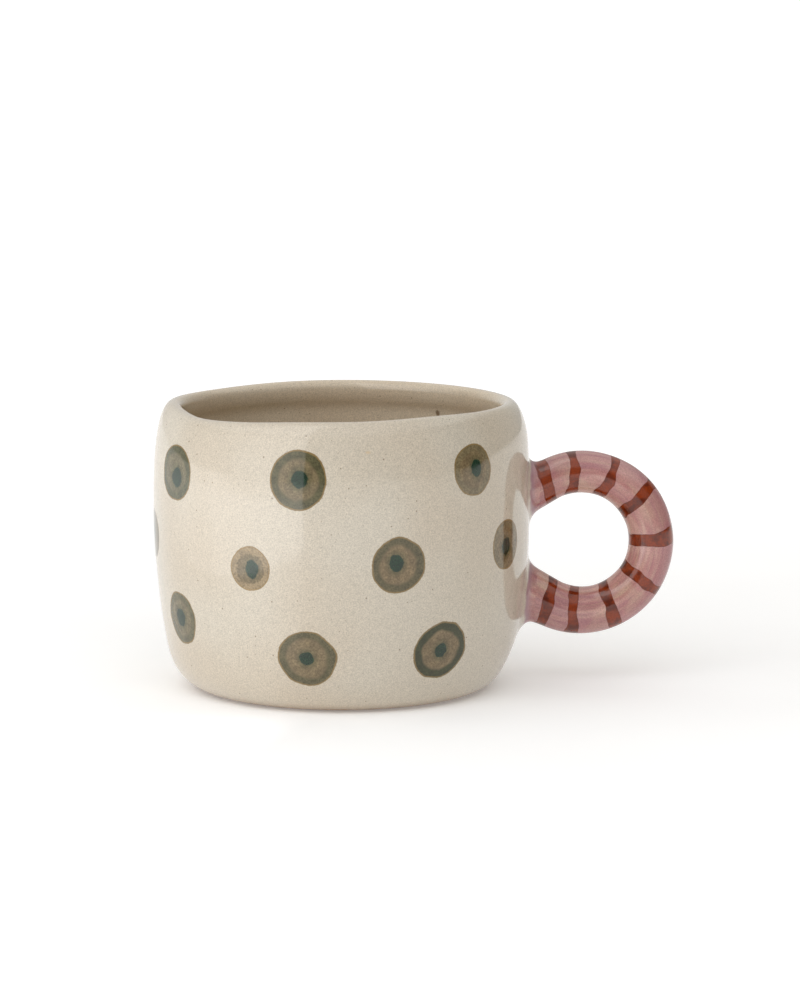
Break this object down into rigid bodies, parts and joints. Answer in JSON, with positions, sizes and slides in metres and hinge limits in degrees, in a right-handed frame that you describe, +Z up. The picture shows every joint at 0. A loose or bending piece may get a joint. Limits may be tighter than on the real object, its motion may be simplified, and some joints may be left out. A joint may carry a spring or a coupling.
{
  "type": "mug",
  "caption": "Squat hand-made stoneware mug with a rolled lip, a foot ring and a round ring handle stuck on with slip; spotted cream glaze, striped pink handle.",
  "frame": {"origin": "cup axis at the plane of the foot ring", "axes": "+Z up through the mouth, +X towards the handle, +Y to the handle's other side"},
  "size_m": [0.1339, 0.0966, 0.0737],
  "materials": {
    "cream_glaze": "glossy clear glaze over speckled cream clay",
    "pink_glaze": "glossy clear glaze over brushed pink slip",
    "slip_glaze": "glossy clear glaze over pale mauve slip"
  },
  "bodies": {
    "root": {"cup_body": "cream_glaze", "handle": "pink_glaze", "upper_slip_joint": "slip_glaze", "lower_slip_joint": "slip_glaze"}
  },
  "joints": []
}
